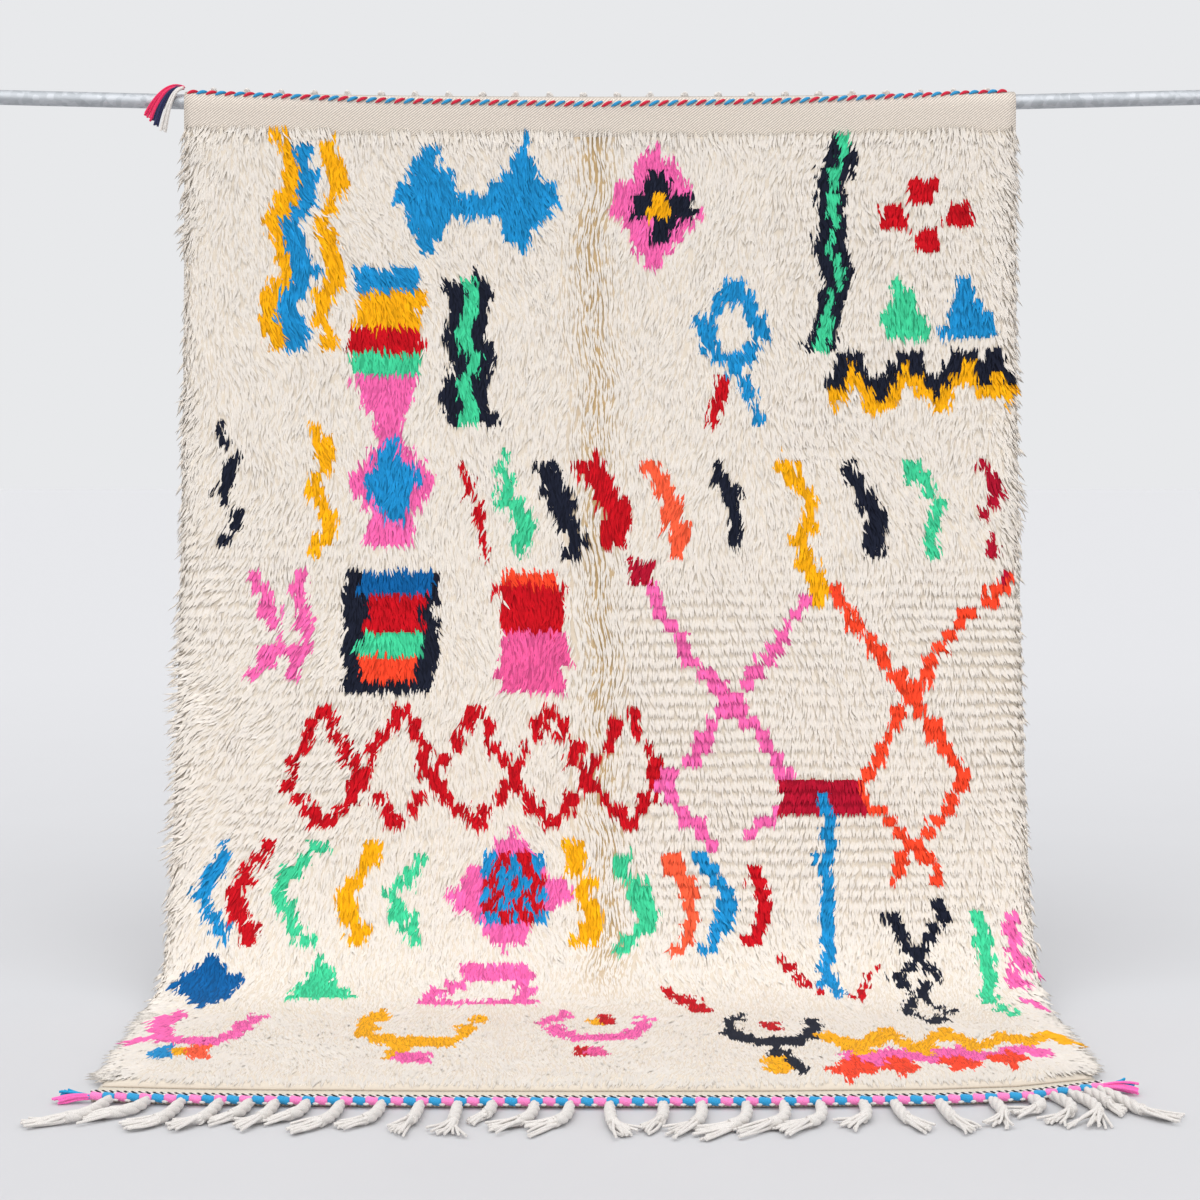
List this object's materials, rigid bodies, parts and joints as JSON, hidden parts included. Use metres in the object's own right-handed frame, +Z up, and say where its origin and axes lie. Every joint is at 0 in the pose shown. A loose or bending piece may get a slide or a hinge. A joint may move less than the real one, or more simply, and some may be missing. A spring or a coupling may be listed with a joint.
{
  "type": "wool pile rug hung over a rod",
  "caption": "Ivory long-pile wool rug with bright knotted motifs, hung over a plain galvanised rod so that it sweeps down and lies along the floor, with tasselled ends.",
  "frame": {"origin": "on the floor, under the middle of the part's box", "axes": "+X along the rod, to the right of someone facing the pile; -Y the way the pile faces and the rug runs out on the floor; +Z up"},
  "size_m": [2.3, 1.2734, 1.6017],
  "materials": {
    "galvanised_steel": "galvanised, dull",
    "ivory_wool": "long cut wool pile on a flat woven ground",
    "red_blue_wool": "two-ply twisted wool",
    "pink_blue_wool": "braided wool",
    "white_cotton": "twisted cotton cord with brushed ends",
    "crimson_navy_yarn": "loose wool yarn"
  },
  "bodies": {
    "root": {"rod": "galvanised_steel", "rug": "ivory_wool", "top_twist": "red_blue_wool", "bottom_braid": "pink_blue_wool", "top_fringe": "white_cotton", "bottom_fringe": "white_cotton", "corner_tassel_top_left": "crimson_navy_yarn", "corner_tassel_bottom_left": "pink_blue_wool", "corner_tassel_bottom_right": "pink_blue_wool"}
  },
  "joints": []
}
